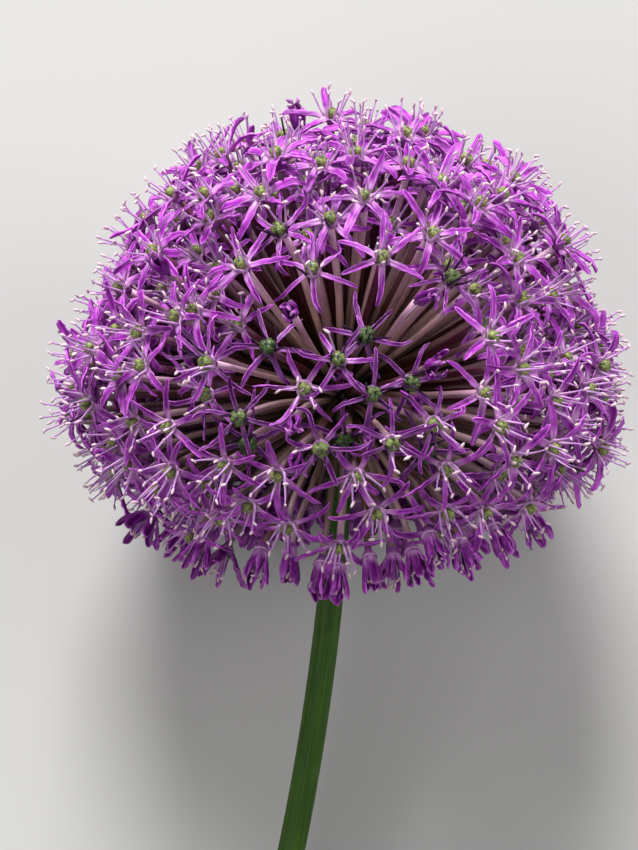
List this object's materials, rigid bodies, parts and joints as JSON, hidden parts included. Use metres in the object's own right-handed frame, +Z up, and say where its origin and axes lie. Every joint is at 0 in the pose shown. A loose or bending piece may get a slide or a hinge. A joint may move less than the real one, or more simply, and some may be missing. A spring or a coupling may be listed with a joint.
{
  "type": "allium flower head",
  "caption": "Round open umbel of star-shaped florets on radiating stalks, with a length of cut stem, lying on its side.",
  "frame": {"origin": "middle of the footprint, on the surface that the flower lies on", "axes": "+Z up from that surface, +Y from the cut end of the stem towards the flower head, +X across"},
  "size_m": [0.113, 0.2001, 0.1037],
  "materials": {
    "tepals": "satin lilac-purple petals",
    "stem": "waxy dark green",
    "stalks": "satin mauve-brown",
    "stamens": "matt pale lilac",
    "ovaries": "glossy warty green"
  },
  "bodies": {
    "root": {"umbel": "tepals", "stem": "stem"}
  },
  "joints": []
}
